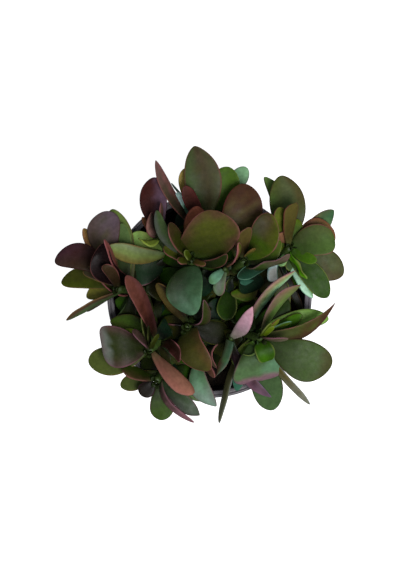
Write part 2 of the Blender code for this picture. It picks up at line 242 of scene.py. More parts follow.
grow(
    "stem_north", "north_",
    Leaf("red", 0.7, (-39, 98, 18), 16, 58, "olive, purple .5, rose right .6, black base .4, mauve tip .3",
         "rose", bend=(-5, -1, 2), point=0.8, shade=1.4),
    Leaf("top", 1, (-10.9, 107.9, 24), 27, 0,
         "mid, brown mid .6, sage left .5, mauve right .25, purple tip .3", "rose", arch=3, sway=2, cup=1,
         bend=(-1, 0, 0), point=0.5, widest=0.5, edge=0.9, shade=0.77),
    Leaf("bright", 0.88, (14.7, 92.8, 20), 20, 0, "mid", "straw", arch=2, cup=1, bend=(2, -1, 0),
         widest=0.75, taper=3, shade=1.05),
    Leaf("line", 0.9, (-28, 82, 6), 5, 82, "silver", "teal", shade=1.5),
    Leaf("teal", 0.8, (-24, 75, 10), 10, 0, "mint", "mint", bend=(-4, 0, 0), shade=4.6),
    Leaf("mint", 0.8, (-17, 68, 12), 6, 30, "mint", "mint", bend=(-3, 0, 0), shade=0.6),
    Leaf("behind", 0.92, (-17.9, 92.3, 17), 16, 0, "olive, brown .5", "tan", cup=1, bend=(-1, 1, 0),
         shade=5.6),
    Leaf("maroon", 0.9, (-18.3, 78.5, 32), 11, 10, "maroon, brown .4, red right .3", "red", edge=1),
    Leaf("grey", 0.85, (26.8, 93.4, 10), 13, 0, "sage, mint .4", "silver", widest=0.8, taper=2, shade=1.9),
    Leaf("brown", 0.95, (10.8, 79.3, 14), 10, 0, "olive, brown .5", "tan", bend=(2, 0, 0)),
)
grow(
    "stem_north_east", "north_east_",
    Leaf("round", 0.84, (24.4, 80.6, 28), 29, 0, "olive, brown .5, maroon tip .7, mid base .3", "red",
         arch=2, cup=1, taper=0.8, edge=1, shade=1.15),
    Leaf("olive", 1, (27.8, 48.6, 48), 12, 30, "olive, brown .5, black base .6", "rose", bend=(-3, 0, 0),
         shade=1.15),
    Leaf("broad", 0.96, (43.5, 58.5, 42), 22, 0,
         "olive, brown tip .8, lime right .4, deep left .5, flame base .4", "rose", arch=1, cup=2,
         bend=(4, -3, 3), taper=0.6, lift_right=1, edge=1, shade=0.74),
    Leaf("lime", 0.92, (51, 39, 34), 12, 0, "mid, black base .7, lime tip .6", "straw", cup=1,
         bend=(2, -4, 2), edge=0.9, shade=0.48),
    Leaf("wavy", 0.72, (57, 30, 38), 14, 74, "mid, sage .4, deep right .3, mauve tip .5", "mauve",
         bend=(0, -4, 2), wave=1.6, shade=0.85),
    Leaf("curl_a", 0.6, (25, 8, 8), 8, 40, "lime, black base .8", "straw", bend=(-4, -3, 0), shade=0.15),
    Leaf("curl_b", 0.55, (14, 3, 6), 8, -20, "mid", "straw", shade=0.18),
    Leaf("pointed", 0.85, (31.2, 33.6, 48), 7, 60, "mid, tan tip .7, pale base .4", "tan", shade=0.8),
    Leaf("spoon", 0.4, (12, -18, 10), 15, 0, "bright, deep .4, black left .4", "straw", cup=1, widest=0.7,
         taper=2.5, shade=0.45),
)
grow(
    "twig_inner", "inner_",
    Leaf("curved", 0.95, (19.9, 37.3, 58), 6, 78, "olive, rose left .6, black right .4", "pink",
         bend=(3.5, -1, 4), edge=1, shade=1.3),
    Leaf("pale", 0.95, (0, 9, 24), 8, 20, "mint, mid tip .5, deep right .2", "mint", arch=1, shade=1.35),
    Leaf("white", 1, (6, 0, 22), 11, 35, "silver, sage left .7, pale right .5, deep tip .4", "mauve", arch=2,
         shade=1.7),
)
grow(
    "stem_east", "east_",
    Leaf("green", 1, (90, 40.5, 26), 23, 0, "mid, sage .4, brown left .3", "rose", arch=2, cup=1,
         bend=(0, 1.5, 0), point=-0.4, taper=0.45, edge=1),
    Leaf("under", 0.96, (90.4, 46.6, 16), 25, 0, "olive, brown .6, red rim .4", "red", arch=2, cup=1,
         bend=(0, 3, 0), taper=0.8, edge=1, shade=2.1),
    Leaf("pointed", 0.86, (90.2, 62.1, 12), 16, 20, "sage, brown left .7, tan left .3, blue tip .8", "mauve",
         arch=2, cup=1, bend=(0, -1, 0), point=0.5, shade=1.85),
    Leaf("north", 0.9, (52.3, 87, 18), 26, 0,
         "mid, sage .3, brown tip .4, brown right .45, teal base .3, silver mid .12", "brown", arch=2, cup=1,
         bend=(4.5, 0, 0), point=0.3, widest=0.6, shade=1.05),
    Leaf("inner", 0.97, (49.1, 63.1, 36), 14, 30, "olive, brown tip .3, mid .3", "red", bend=(0, 1, 0),
         edge=1, shade=1.7),
    Leaf("slim", 1, (59.2, 65.9, 40), 15, 45, "olive, brown .4", "red", bend=(-1, 2, 0), point=-0.3,
         widest=0.75, edge=1, shade=1.4),
    Leaf("low", 0.93, (86, -1, 16), 17, 0, "mid, bright .6", "straw", arch=2, cup=1, bend=(1, 2, 0),
         shade=0.54),
    Leaf("grey", 0.87, (97.3, 15.9, 14), 23, 0, "sage, olive .4, brown right .4, brown tip .35", "brown",
         arch=2, cup=1, bend=(0, 3, 0), edge=1, shade=0.88),
    Leaf("tip", 0.6, (40.2, 86.6, 8), 13, 0, "deep, sage .3", "brown", bend=(10, 5, 0), point=0.3,
         shade=2.9),
    Leaf("triangle", 1, (63.9, 55.3, 22), 9, 0, "mid, lime tip .5", "tan", bend=(1, 0, 0), shade=0.78),
    Leaf("russet", 0.92, (50.8, 45.2, 30), 11, 30, "olive, rose .5", "pink", shade=1.3),
    Leaf("russet_b", 0.9, (45.8, 41.3, 32), 8, 20, "lime, red tip .5", "pink"),
    Leaf("curled", 1, (76.9, 24.7, 28), 8, 0, "mid, bright .4", "lime", cup=1, bend=(0, -1, 0), shade=1.1),
    Leaf("curl", 0.97, (70, 12, 28), 4, 50, "flame", "straw", bend=(0, -1, 0), wave=1.5),
    Leaf("pale", 0.9, (51, 21, 22), 7, 20, "mint, lime .5", "straw", shade=2),
    Leaf("bit", 0.9, (58, 18, 20), 6, -20, "lime, mint .4", "straw", shade=0.34),
    Leaf("mint", 0.85, (74.5, -1.9, 18), 8, -20, "mint, frost .35, bright left .7", "mint", point=0.6,
         widest=0.72, taper=1.8, shade=2.1),
    Leaf("thick", 0.72, (45.4, 10, 29), 8, 20, "mint, teal right .5", "mint", bend=(-2, 0, 0), point=-1,
         widest=0.8, thick=4, shade=8.5),
    Leaf("teal_a", 0.6, (20, 13, 27), 10, 0, "blue, teal left .5, black right .5", "mint", wave=1.5,
         shade=0.68),
    Leaf("teal_b", 0.4, (22, 9, 23), 8, 0, "teal, black base .6", "teal", wave=1.5, shade=0.8),
    Leaf("dusk", 0.35, (16, 0, 10), 13, 0, "deep, brown base .7, brown mid .3", "brown", bend=(3, -6, 0),
         shade=2.8),
    Leaf("dark", 0.6, (52, -16, 6), 12, 0, "sage, brown .4, black left .5", "straw", bend=(3, 0, 0),
         shade=1.1),
    Leaf("red", 0.7, (68, -13, 2), 6, 0, "mid, red left .6", "tan", edge=0.15, shade=0.06),
)
grow(
    "stem_south_east", "south_east_",
    Leaf("inner", 0.6, (61, 18, 48), 11, 50,
         "sage, mint right .6, brown left .3, mauve left .4, brown tip .4, black base .6", "mauve",
         bend=(-3, 4, 0), point=0.8, widest=0.55, shade=3.4),
    Leaf("blade", 1, (65, 8, 34), 14, 55,
         "sage, mid .4, mauve left .5, brown left .4, brown tip .4, deep base .5", "mauve", bend=(-4, 4, 3),
         point=0.8, shade=2),
    Leaf("wide", 0.85, (37.1, -61.9, 12), 36, 0,
         "sage, teal .2, mint left .4, deep base .7, brown end .5, mauve end .7, lavender end .25", "mauve",
         arch=6, bend=(-1, 0, 4), point=-0.8, widest=0.75, taper=0.7, skew=2, shade=1.25),
    Leaf("under", 0.78, (46.5, -84, 0), 23, 0, "sage, mid .3, teal .2", "brown", arch=2, cup=1, shade=0.82),
    Leaf("big", 0.93, (88, -50.1, 24), 30, 0, "mid, sage .5, brown end .5, deep base .5, deep right .2",
         "brown", arch=3, cup=1, bend=(0, -4, 0), taper=1.5, shade=0.8),
    Leaf("dark", 0.97, (90.1, -4.7, 36), 16, 48,
         "mid, sage base .7, maroon right .9, maroon tip .8, brown .4", "rose", bend=(2, -9, 0), point=1.4,
         widest=0.3, edge=0.45, shade=1.2),
    Leaf("bright", 0.8, (86, -16, 20), 15, 0, "sage, mid .6", "brown", arch=2, cup=1, bend=(0, 4, 0),
         edge=0.9, shade=3.3),
    Leaf("ink", 0.9, (22, -41, 14), 7, 0, "mid, black .3", "mauve", shade=1.9),
    Leaf("olive", 0.8, (17, -50, 14), 9, 0, "mid, brown right .4", "straw", shade=1.5),
    Leaf("edge", 1, (24, -42, 30), 3.5, 75, "pale", "straw", bend=(3, -4, 0), shade=0.38),
    Leaf("lime", 1, (42, -46.9, 30), 14, 0, "flame, bright left .6", "straw", bend=(0, 0, 3), point=-0.8,
         widest=0.5, taper=0.4, edge=1, shade=0.44),
    Leaf("slim", 0.9, (73, -79, 12), 12, 64, "olive, brown .45, silver tip .45", "silver", bend=(-2, -1, 0),
         shade=2.4),
    Leaf("mauve", 1, (55.5, -30.3, 46), 9, 75, "sage, mauve .4, brown left .5", "mauve", bend=(-1, -1, 0)),
    Leaf("brown", 0.75, (57.1, -2.9, 20), 11, 0, "bright, deep .5", "brown", bend=(4, -3, 0), edge=0.5,
         shade=0.3),
    Leaf("white", 0.9, (58.5, -18.4, 34), 5, 50, "deep", "mint", shade=2.5),
    Leaf("bud_a", 1, (49.1, -16.2, 50), 5, 55, "lime, brown tip .4", "tan", shade=0.95),
    Leaf("bud_b", 1, (45.3, -21.6, 47), 4.5, 30, "lime", "straw", shade=0.8),
    Leaf("bud_c", 1, (43.3, -19.1, 50), 4, 50, "lime", "straw", shade=0.48),
    Leaf("long", 0.6, (6.9, -93, 8), 12, 70, "sage, brown .55, silver tip .2", "silver", bend=(-2, 0, 0),
         shade=1.8),
    Leaf("teal", 0.6, (20, -70, 0), 10, 0, "teal", "mint", shade=0.9),
    Leaf("maroon", 0.8, (28, -42, 18), 5, 40, "maroon, black left .5", "maroon"),
    Leaf("cup", 0.8, (66.6, -13.6, 28), 9, 0, "bright, mid .3", "brown", bend=(2, -1, 0), taper=1.4, edge=1),
)
grow(
    "twig_fork", "",
    Leaf("south_east_lavender", 0.95, (45.2, -74.1, 9), 9, 20,
         "purple, brown left .4, mauve right .4, lavender tip .3, black base .95", "lavender",
         bend=(-5, -4, 2), point=0.9, shade=1.05),
    Leaf("fork_lens", 1, (30.4, -7.5, 44), 10.5, -10,
         "mauve, silver .3, lavender .3, pink tip .2, sage base .3", "mauve", bend=(1, -2, 2), point=0.9,
         widest=0.42, taper=1.3, edge=0.4, shade=2.6),
    Leaf("fork_blade", 1, (4.2, -58.6, 22), 6.6, 10,
         "pale, mint base .5, brown tip .95, brown right .6, mint left .55", "rose", bend=(1.5, 0, 0),
         point=2, widest=0.15, taper=0.6, petiole=6.5, edge=0.3, shade=0.42),
    Leaf("south_chip", 0.6, (5.3, -52.5, 20), 5, 60, "mid, mauve .4, silver base .3", "pink",
         bend=(-8, 1, 0), shade=0.65),
)
grow(
    "stem_south_west", "south_west_",
    Leaf("silver", 0.97, (-78, -34.5, 28), 30, 0,
         "olive, deep .7, frost end .6, silver end .4, mauve rim .4", "mauve", arch=2, bend=(0, -1, 2),
         point=-0.75, widest=0.72, taper=1, skew=4, edge=1, shade=0.58),
    Leaf("olive", 0.85, (-88, -49, 10), 22, 0, "olive, sage .3", "tan", arch=2, cup=1, bend=(0, -3, 0),
         shade=1.1),
    Leaf("dusty", 0.75, (-60, 14, 44), 17, 50, "olive, red .8, black base .6, salmon tip .3, mauve right .2",
         "rose", bend=(2, 2, 4), shade=0.85),
    Leaf("curled", 0.75, (-21.2, -46.7, 36), 10, 30, "deep, maroon .8, red right .3", "pink", cup=1,
         bend=(2, 4, 4), wave=1, edge=0.5, shade=0.6),
    Leaf("salmon", 1, (-11.4, -70.7, 24), 15, -35,
         "olive, salmon .75, brown left .5, brown base .4, rose right .3", "salmon", arch=1,
         bend=(-1, -3, 0), shade=1.55),
    Leaf("lime", 0.9, (-61.3, -24.6, 20), 8, 0, "olive, lime .5", "straw"),
    Leaf("thin", 1, (-55, -26, 40), 12, 70, "olive, purple .7", "mauve", bend=(1, 1, 2)),
    Leaf("stalk_a", 1, (-49, -15, 36), 5, 60, "olive, deep .5", "straw", edge=0.15, shade=0.25),
    Leaf("stalk_b", 1, (-44, -21, 42), 4, 60, "olive, deep .5", "straw", edge=0.15, shade=0.14),
    Leaf("stalk_c", 1, (-37, -27, 42), 5, 50, "olive, lime .3", "straw", edge=0.2, shade=0.34),
    Leaf("back", 0.8, (-72, -18, 14), 14, 0, "mid, brown left .3, black right .5", "brown", cup=1,
         bend=(4, 3, 0)),
)
grow(
    "stem_south_south_west", "south_south_west_",
    Leaf("grey", 0.97, (-7, -87, 12), 12, 0, "sage, blue .4, black right .6, silver tip .4", "mauve", arch=2,
         cup=1, bend=(0, -1, 0), point=1, shade=0.65),
    Leaf("green", 0.9, (-35, -91, 6), 18, 0, "mid, sage .3, sage left .6, deep right .4, black base .4",
         "mauve", arch=2, cup=1, shade=0.75),
    Leaf("thin", 0.95, (-11, -92, 14), 12, 68, "olive, purple .8, mauve tip .6", "mauve", bend=(-7, -1, 2),
         shade=1.9),
    Leaf("dark", 1, (-50, -72, 16), 12, 0, "deep, purple .5", "purple", shade=0.22),
    Leaf("olive", 0.85, (-65, -66, 6), 13, 0, "olive, sage .35", "tan", shade=0.82),
    Leaf("red", 1, (-63, -53, 22), 14, 50, "deep, brown left .6, black .3", "rose", shade=1.45),
    Leaf("low", 0.8, (-3, -76, 4), 11, 0, "sage", "silver", shade=1.4),
)
grow(
    "stem_inner_south", "inner_south_",
    Leaf("oval", 1, (-0.1, -53.9, 26), 21, 15, "olive, brown .2, red left .3, deep base .3, black right .3",
         "rose", arch=2, bend=(-5, 1, 2), widest=0.54, taper=0.3, edge=1, shade=0.82),
    Leaf("slim", 0.95, (-38, 9, 32), 11, -30, "olive, brown .5, black right .8, black base .5", "tan",
         bend=(0, 0, 4), shade=1.2),
    Leaf("upright", 1, (-4.1, -2.7, 36), 8, 45, "mid, brown .3, mauve right .3, black base .7", "mauve",
         bend=(6, -7, 0), shade=0.45),
    Leaf("dusk", 0.9, (13.9, -29.8, 8), 18, 0, "olive, deep .6, black right .5", "olive", shade=0.22),
    Leaf("vee", 1, (-30, -20, 24), 3.5, 75, "olive, maroon .6", "pink", edge=0.1, shade=0.03),
)
grow(
    "stem_south", "south_",
    Leaf("pale", 0.97, (5, -81, 6), 15, 0,
         "mint, sage left .4, pale .3, deep left .3, deep right .4, deep base .35, lavender tip .4", "mauve",
         arch=2, cup=1, bend=(-7, -1, 0), point=0.8, shade=1.2),
    Leaf("strip", 1, (4, -58.3, 27), 7, 50, "olive, salmon .7", "pink", shade=0.8),
)


def stem_point(stem, t):
    """A point of a stem's curve: t is 0 at its foot and 1 at its end."""
    a, b, c, d = (Vector((x, y, RIM + h)) for x, y, h in ROUTES[stem])
    u = 1 - t
    return u ** 3 * a + 3 * u * u * t * b + 3 * u * t * t * c + t ** 3 * d


def stem_direction(stem, t):
    step = 0.01
    return (stem_point(stem, t) - stem_point(stem, t - step)).normalized()


def stem_radius(stem, t):
    slimness = TWIG_SLIMNESS if stem in TWIGS else 1
    return slimness * (FOOT_RADIUS + (TIP_RADIUS - FOOT_RADIUS) * t)


def leaf_axes(along, roll):
    """Where a leaf's face looks, and the direction to its right."""
    side = along.cross(UP).normalized()
    turn = math.radians(roll)
    face = math.cos(turn) * side.cross(along) + math.sin(turn) * side
    return face, along.cross(face)


def leaf_base(leaf, tip):
    """Where a leaf starts: its foot sinks a little into its stem."""
    foot = stem_point(leaf.stem, leaf.along)
    forward = stem_direction(leaf.stem, leaf.along)
    reach = (tip - foot).normalized()
    if leaf.along >= 1:
        return foot + stem_radius(leaf.stem, 1) * reach
    outward = (reach - reach.dot(forward) * forward).normalized()
    face, right = leaf_axes(reach, leaf.roll)
    foot_reach = leaf.petiole * abs(right.dot(outward)) + leaf.thick * abs(face.dot(outward))
    return foot + (stem_radius(leaf.stem, leaf.along) + 0.5 * foot_reach - FOOT_SINK) * outward


def smooth(low, high, x):
    t = np.clip((x - low) / (high - low), 0, 1)
    return t * t * (3 - 2 * t)


def ripples(x, y, seed, size):
    """A smooth, seeded unevenness from about -1 to 1 whose bumps are about size wide."""
    dice = random.Random(seed)
    total = np.zeros_like(x)
    for _ in range(6):
        turn = dice.uniform(0, 2 * math.pi)
        pitch = size * dice.uniform(0.7, 1.8)
        phase = dice.uniform(0, 2 * math.pi)
        total += np.sin(2 * math.pi * (x * math.cos(turn) + y * math.sin(turn)) / pitch + phase)
    return total / 3


def stations(widest, rows):
    """Where a leaf's rings lie along it: even up to its widest place, closer towards the tip."""
    lower = np.linspace(0, widest, rows)[:-1]
    upper = widest + (1 - widest) * np.sin(np.linspace(0, 0.5 * math.pi, rows))
    return np.append(lower, upper[:-1])


def half_widths(leaf, s, ahead):
    """Half of a leaf's width at each s along it. ahead runs from 0 at its widest place to 1 at its tip."""
    lower = np.sin(0.5 * math.pi * np.minimum(s / leaf.widest, 1)) ** leaf.taper
    upper = (1 - ahead ** (2 - 0.3 * leaf.point)) ** (0.5 + 0.35 * leaf.point)
    spread = np.where(s < leaf.widest, lower, upper)
    half = 0.5 * (leaf.petiole * (1 - smooth(0.6, 1, s)) * (1 - spread) + leaf.width * spread)
    return np.maximum(half, LEAST_HALF_WIDTH)


def wash_masks(s, v, rim, rough):
    """How strongly a wash lies at each point, for each place that it can name."""
    return {
        "base": 1 - smooth(0.15, 0.6, s + 0.1 * rough),
        "tip": smooth(0.35, 0.95, s + 0.12 * rough),
        "end": smooth(0.74, 0.92, s + 0.04 * rough),
        "left": smooth(-0.25, 0.85, -v + 0.2 * rough),
        "right": smooth(-0.25, 0.85, v + 0.2 * rough),
        "mid": 1 - smooth(0.1, 0.75, np.abs(v) + 0.15 * rough),
        "edge": smooth(0.72, 0.95, rim + 0.05 * rough),
        "rim": smooth(0.35, 1.0, rim + 0.12 * rough),
    }


def blend(colour, other, amount):
    return colour + (other - colour) * amount[..., None]


def leaf_colour(leaf, s, upside, masks, mottle):
    """A leaf's ground tone and washes, with a dusky underside, a pale foot, and a lower end darkened as
    painted shade.
    """
    ground, *washes = leaf.skin.split(", ")
    colour = np.zeros(s.shape + (3,)) + TONES[ground]
    for wash in washes:
        tone, *where, strength = wash.split()
        mask = masks[where[0]] if where else np.ones_like(s)
        colour = blend(colour, TONES[tone], float(strength) * mask)
    colour = blend(colour, 0.6 * colour + 0.6 * np.array(TONES["purple"]), UNDERSIDE * (upside < 0))
    colour = blend(colour, np.array(TONES["pale"]) * 0.6, PALE_FOOT * (1 - smooth(0, 0.2, s)))
    colour *= (1 + MOTTLE * mottle)[..., None]
    grey = colour.mean(axis=-1, keepdims=True)
    colour = np.maximum(grey + RICHNESS * (colour - grey), 0.001)
    # shade scales the whole leaf as painted light and shade; the lower end is painted darker, as shade
    return colour * (leaf.shade * (0.64 + 0.60 * smooth(0.1, 0.9, s))[..., None])


def leaf_shell(leaf):
    """A leaf as rings of points: s runs along it, v across it from -1 to 1, half is half its width."""
    dice = random.Random(leaf.name)
    tip = Vector((leaf.tip[0], leaf.tip[1], RIM + leaf.tip[2]))
    base = leaf_base(leaf, tip)
    length = (tip - base).length
    along = (tip - base).normalized()
    rows, columns = (15, 14) if leaf.width > BROAD_LEAF else (11, 10)
    s_rows = stations(leaf.widest, rows)
    v_top = np.sin(np.linspace(-0.5 * math.pi, 0.5 * math.pi, columns + 1))
    v_ring = np.concatenate((v_top, v_top[-2:0:-1]))
    s, v = np.meshgrid(s_rows, v_ring, indexing="ij")
    upside = np.broadcast_to(np.concatenate((np.ones(columns + 1), -np.ones(columns - 1))), s.shape)
    ahead = np.clip((s - leaf.widest) / (1 - leaf.widest), 0, 1)
    half = half_widths(leaf, s, ahead)
    share = half * 2 / leaf.width

    lean = dice.uniform(-0.05, 0.05)
    wobble = 1 + 0.035 * np.sin(7 * s + dice.uniform(0, 6)) * np.sign(v) + lean * np.sign(v)
    x = s * length
    y = v * half * wobble
    wave = leaf.wave * np.sin(2 * math.pi * WAVES * s + dice.uniform(0, 6)) * np.abs(v) ** 2 * share
    groove = GROOVE * np.exp(-(y / 1.1) ** 2) * (1 - s) * (upside > 0)
    body = np.sqrt(np.clip(1 - v ** 4, 0, 1)) * np.sqrt(np.clip(1 - ahead ** 6, 0.02, 1))
    lift = leaf.cup * (v * share) ** 2 + wave + SWELL * ripples(x, y, leaf.name + "swell", 16)
    lift = lift + leaf.lift_right * smooth(0.3, 1.2, v) * share - groove
    swell = 4 * s * (1 - s)
    up = leaf.arch * swell + lift + 0.5 * leaf.thick * (1 - 0.35 * s) * body * upside
    out = leaf.sway * swell + y
    face, right = (np.array(axis) for axis in leaf_axes(along, leaf.roll))
    along = np.array(along)
    points = np.array(base) + x[..., None] * along + swell[..., None] * np.array(leaf.bend)
    points = points + up[..., None] * face + out[..., None] * right
    points = points + (leaf.skew * v * share)[..., None] * along

    rough = ripples(x, y, leaf.name, 9)
    masks = wash_masks(s, v, np.maximum(np.abs(v), ahead), rough)
    margin = 1 - smooth(0.05, 0.7, (1 - np.abs(v)) * half)
    return {
        "points": points,
        "tone": leaf_colour(leaf, s, upside, masks, ripples(x, y, leaf.name + "mottle", 6)),
        "rim_tone": np.zeros_like(points) + TONES[leaf.rim],
        "rim": margin * smooth(0.12, 0.4, s) * (leaf.edge + 0.35 * rough),
    }


def shell_faces(rings, count, start):
    """The faces of a closed tube of rings, both ends capped, whose first point has index start."""
    faces = []
    for i in range(rings - 1):
        low = start + i * count
        for k in range(count):
            n = (k + 1) % count
            faces.append((low + k, low + count + k, low + count + n, low + n))
    faces.append(tuple(range(start, start + count)))
    last = start + (rings - 1) * count
    faces.append(tuple(reversed(range(last, last + count))))
    return faces


def add_object(name, data):
    thing = bpy.data.objects.new(name, data)
    bpy.context.scene.collection.objects.link(thing)
    return thing


def skin(name, shells, material):
    """One piece made of closed shells: each holds rings of points in mm, and values at them."""
    faces = []
    start = 0
    for shell in shells:
        rings, count = shell["points"].shape[:2]
        faces += shell_faces(rings, count, start)
        start += rings * count
    verts = np.concatenate([shell["points"].reshape(-1, 3) for shell in shells]) * MM
    mesh = bpy.data.meshes.new(name)
    mesh.from_pydata(verts.tolist(), [], faces)
    for key in ("tone", "rim_tone"):
        layer = mesh.color_attributes.new(key, "FLOAT_COLOR", "POINT")
        rgba = np.ones((len(verts), 4), np.float32)
        rgba[:, :3] = np.clip(np.concatenate([shell[key].reshape(-1, 3) for shell in shells]), 0, 1)
        layer.data.foreach_set("color", rgba.ravel())
    rim = np.concatenate([shell["rim"].ravel() for shell in shells])
    mesh.attributes.new("rim", "FLOAT", "POINT").data.foreach_set("value", rim.astype(np.float32))
    mesh.shade_smooth()
    mesh.materials.append(material)
    thing = add_object(name, mesh)
    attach(thing, "root")
    return thing


# -------------------- materials
LEAF_DUST = (0.22, 0.13, 0.13)
SOIL_DARK = (0.003, 0.002, 0.0015)
SOIL_LIGHT = (0.020, 0.013, 0.008)
SOIL_FLECKS = (0.060, 0.042, 0.028)


class Nodes:
    """Short forms for building the node tree of a material or a world, round its named shader."""

    def __init__(self, owner, shader="Principled BSDF"):
        owner.use_nodes = True
        self.owner = owner
        self.tree = owner.node_tree
        self.shader = self.tree.nodes[shader]

    def new(self, kind, **settings):
        node = self.tree.nodes.new(kind)
        for key, value in settings.items():
            setattr(node, key, value)
        return node

    def link(self, source, target):
        self.tree.links.new(source, target)

    def fill(self, sockets, **values):
        """Give sockets their constant values; an underscore in a key stands for a space."""
        for key, value in values.items():
            sockets[key.replace("_", " ")].default_value = value

    def attribute(self, name, output="Color"):
        return self.new("ShaderNodeAttribute", attribute_name=name).outputs[output]

    def noise(self, scale, detail=3.0, roughness=0.5):
        grain = self.new("ShaderNodeTexNoise")
        self.link(self.new("ShaderNodeTexCoord").outputs["Object"], grain.inputs["Vector"])
        self.fill(grain.inputs, Scale=scale, Detail=detail, Roughness=roughness)
        return grain.outputs["Fac"]

    def span(self, value, low, high, new_low, new_high, **settings):
        node = self.new("ShaderNodeMapRange", **settings)
        self.link(value, node.inputs["Value"])
        self.fill(node.inputs, From_Min=low, From_Max=high, To_Min=new_low, To_Max=new_high)
        return node.outputs["Result"]

    def multiply(self, a, b):
        node = self.new("ShaderNodeMath", operation="MULTIPLY")
        self.link(a, node.inputs[0])
        self.link(b, node.inputs[1])
        return node.outputs["Value"]

    def mix(self, factor, a, b, blend_type="MIX"):
        """Colours a and b mixed; a Mix node's factor is its input 0, and its colours are 6 and 7."""
        node = self.new("ShaderNodeMix", data_type="RGBA", blend_type=blend_type)
        for key, value in ((0, factor), (6, a), (7, b)):
            if isinstance(value, (int, float)):
                node.inputs[key].default_value = value
            elif isinstance(value, tuple):
                node.inputs[key].default_value = (*value, 1)
            else:
                self.link(value, node.inputs[key])
        return node.outputs[2]

    def dress(self, colour, roughness, specular, relief, strength, distance):
        """The shader's colour, roughness and specular level, and bumps that stand distance metres high."""
        self.link(colour, self.shader.inputs["Base Color"])
        self.link(roughness, self.shader.inputs["Roughness"])
        self.fill(self.shader.inputs, Specular_IOR_Level=specular)
        bump = self.new("ShaderNodeBump")
        self.fill(bump.inputs, Strength=strength, Distance=distance)
        self.link(relief, bump.inputs["Height"])
        self.link(bump.outputs["Normal"], self.shader.inputs["Normal"])
        return self.owner


def leaf_material():
    n = Nodes(bpy.data.materials.new("leaf_skin_wax"))
    tone = n.attribute("tone")
    mottle = n.span(n.noise(420, 4), 0.3, 0.7, 0.0, 1.0)
    body = n.mix(1.0, tone, n.mix(mottle, (0.86, 0.87, 0.84), (1.14, 1.13, 1.12)), "MULTIPLY")
    specks = n.span(n.noise(1300, 2, 0.6), 0.52, 0.72, 0.0, 0.22)
    dusted = n.mix(specks, body, n.mix(0.35, tone, LEAF_DUST))
    colour = n.mix(n.attribute("rim", "Fac"), dusted, n.attribute("rim_tone"))
    roughness = n.span(n.noise(260, 3), 0.3, 0.7, 0.34, 0.52)
    return n.dress(colour, roughness, 0.1, n.noise(1500, 3), 0.15, 0.0002)


def stem_material():
    n = Nodes(bpy.data.materials.new("stem_skin_green"))
    mottle = n.span(n.noise(500, 4), 0.3, 0.7, 0.0, 1.0)
    shaded = n.mix(mottle, (0.7, 0.7, 0.7), (1.25, 1.2, 1.15))
    colour = n.mix(1.0, n.attribute("tone"), shaded, "MULTIPLY")
    roughness = n.span(n.noise(300), 0.3, 0.7, 0.45, 0.65)
    return n.dress(colour, roughness, 0.5, n.noise(1200, 3), 0.3, 0.0003)


def pot_material():
    n = Nodes(bpy.data.materials.new("pot_plastic_dark"))
    tone = n.attribute("tone")
    dust = n.span(n.noise(45, 5, 0.6), 0.4, 0.7, 0.0, 0.45)
    fine = n.span(n.noise(900, 4), 0.45, 0.7, 0.0, 0.3)
    colour = n.mix(dust, tone, n.mix(0.5, tone, POT_DUST))
    colour = n.mix(fine, colour, n.mix(0.6, tone, POT_DUST))
    roughness = n.span(n.noise(120, 4), 0.3, 0.7, 0.36, 0.54)
    return n.dress(colour, roughness, 0.4, n.noise(1400, 3), 0.15, 0.0002)


def soil_material():
    n = Nodes(bpy.data.materials.new("potting_mix_crumbs"))
    crumbs = n.span(n.noise(380, 6, 0.65), 0.35, 0.7, 0.0, 1.0)
    flecks = n.span(n.noise(700, 2), 0.68, 0.72, 0.0, 0.8)
    colour = n.mix(flecks, n.mix(crumbs, SOIL_DARK, SOIL_LIGHT), SOIL_FLECKS)
    roughness = n.span(n.noise(300), 0.3, 0.7, 0.8, 1.0)
    return n.dress(colour, roughness, 0.15, n.noise(600, 6, 0.7), 0.8, 0.0012)


# -------------------- pot and soil
POT_SIDES = 144
POT_BARE = (0.036, 0.033, 0.034)
POT_DUST = (0.150, 0.135, 0.140)
# dust on the rim, lightened further by painted light
RIM_DUST_AND_LIGHT = (0.480, 0.430, 0.500)
LIT_SIDE = 40  # the side from which light falls on the pot, where its rim is painted lightest
RIM_BAND = 13
LEDGE = 5.3  # the rim's width, from its outside
# From the inside of the rim to its outside: how far in from the edge, and how far down.
RIM_PROFILE = ((LEDGE, 4.5), (LEDGE, 0.8), (2.9, 0.5), (2.3, 0.9), (1.9, 0), (0.6, 0), (0, 1.2),
               (0.8, RIM_BAND))
FLOOR = 2.4
WALL = 1.8
BASE_RADIUS = 54
CORNER = 0.8  # how far a rounded corner reaches along each side
RIBS = (94, 88, 82, 34)  # heights of the faint ribs round the wall
RIB_HALF = 1.5
RIB_PROUD = 0.45
HOLES = 8  # drain holes in a ring through the floor
HOLE_RING = 40
HOLE_RADIUS = 4.5
CRUMBS = 420
CRUMB_SIZES = (0.6, 2.2)
CRUMB_STRETCH = ((0.8, 1.8), (0.6, 1.1), (0.4, 0.8))
CRUMB_REACH = 65
STEM_CLEARANCE = 8  # from a crumb to the middle of a stem


def wall_radius(z):
    """Inner radius of the pot's wall at height z."""
    top = RIM_RADIUS - 3.6
    foot = BASE_RADIUS - WALL
    return foot + (top - foot) * (z - FLOOR) / (RIM - FLOOR)


def eased(outline, reach):
    """An outline with every corner between its two ends rounded."""
    points = [Vector(p) for p in outline]
    rounded = [points[0]]
    for before, corner, after in zip(points, points[1:], points[2:]):
        near, far = (corner + min(reach, 0.4 * arm.length) * arm.normalized()
                     for arm in (before - corner, after - corner))
        for t in (0, 0.33, 0.67, 1):
            rounded.append(near.lerp(corner, t).lerp(corner.lerp(far, t), t))
    return rounded + [points[-1]]


